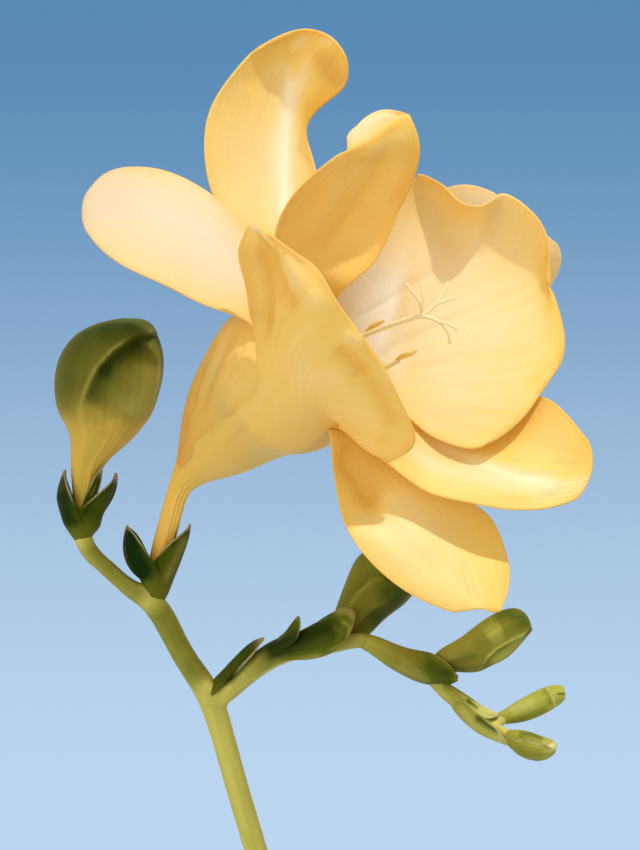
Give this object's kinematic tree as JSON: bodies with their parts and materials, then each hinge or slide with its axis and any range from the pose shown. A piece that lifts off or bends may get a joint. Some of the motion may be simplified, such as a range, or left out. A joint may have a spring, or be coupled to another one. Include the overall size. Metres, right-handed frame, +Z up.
{
  "type": "freesia in vase",
  "caption": "Cut freesia stem with an open pale yellow bloom and green buds along a bent branch, standing in water in a plain clear glass bud vase.",
  "frame": {"origin": "centre of the vase's foot, on the surface it stands on", "axes": "+Z up along the vase's axis, the picture looks along +Y, +X to the picture's right"},
  "size_m": [0.0641, 0.0554, 0.2185],
  "materials": {
    "glass": "clear polished",
    "water": "clear",
    "stem_green": "satin, fleshy",
    "bract_green": "satin, papery at the tip",
    "bud_green": "satin",
    "petal_yellow": "soft, translucent",
    "pistil_cream": "soft"
  },
  "bodies": {
    "root": {"vase": "glass", "water": "water", "stem": "stem_green", "bract_fork": "bract_green", "bracts_bloom": "bract_green", "bracts_bud_1": "bract_green", "bract_bud_2": "bract_green", "bract_bud_3": "bract_green", "bract_bud_4": "bract_green", "bract_bud_5": "bract_green", "bud_1": "bud_green", "bud_2": "bud_green", "bud_3": "bud_green", "bud_4": "bud_green", "bud_5": "bud_green", "bloom": "petal_yellow", "pistil": "pistil_cream"}
  },
  "joints": []
}
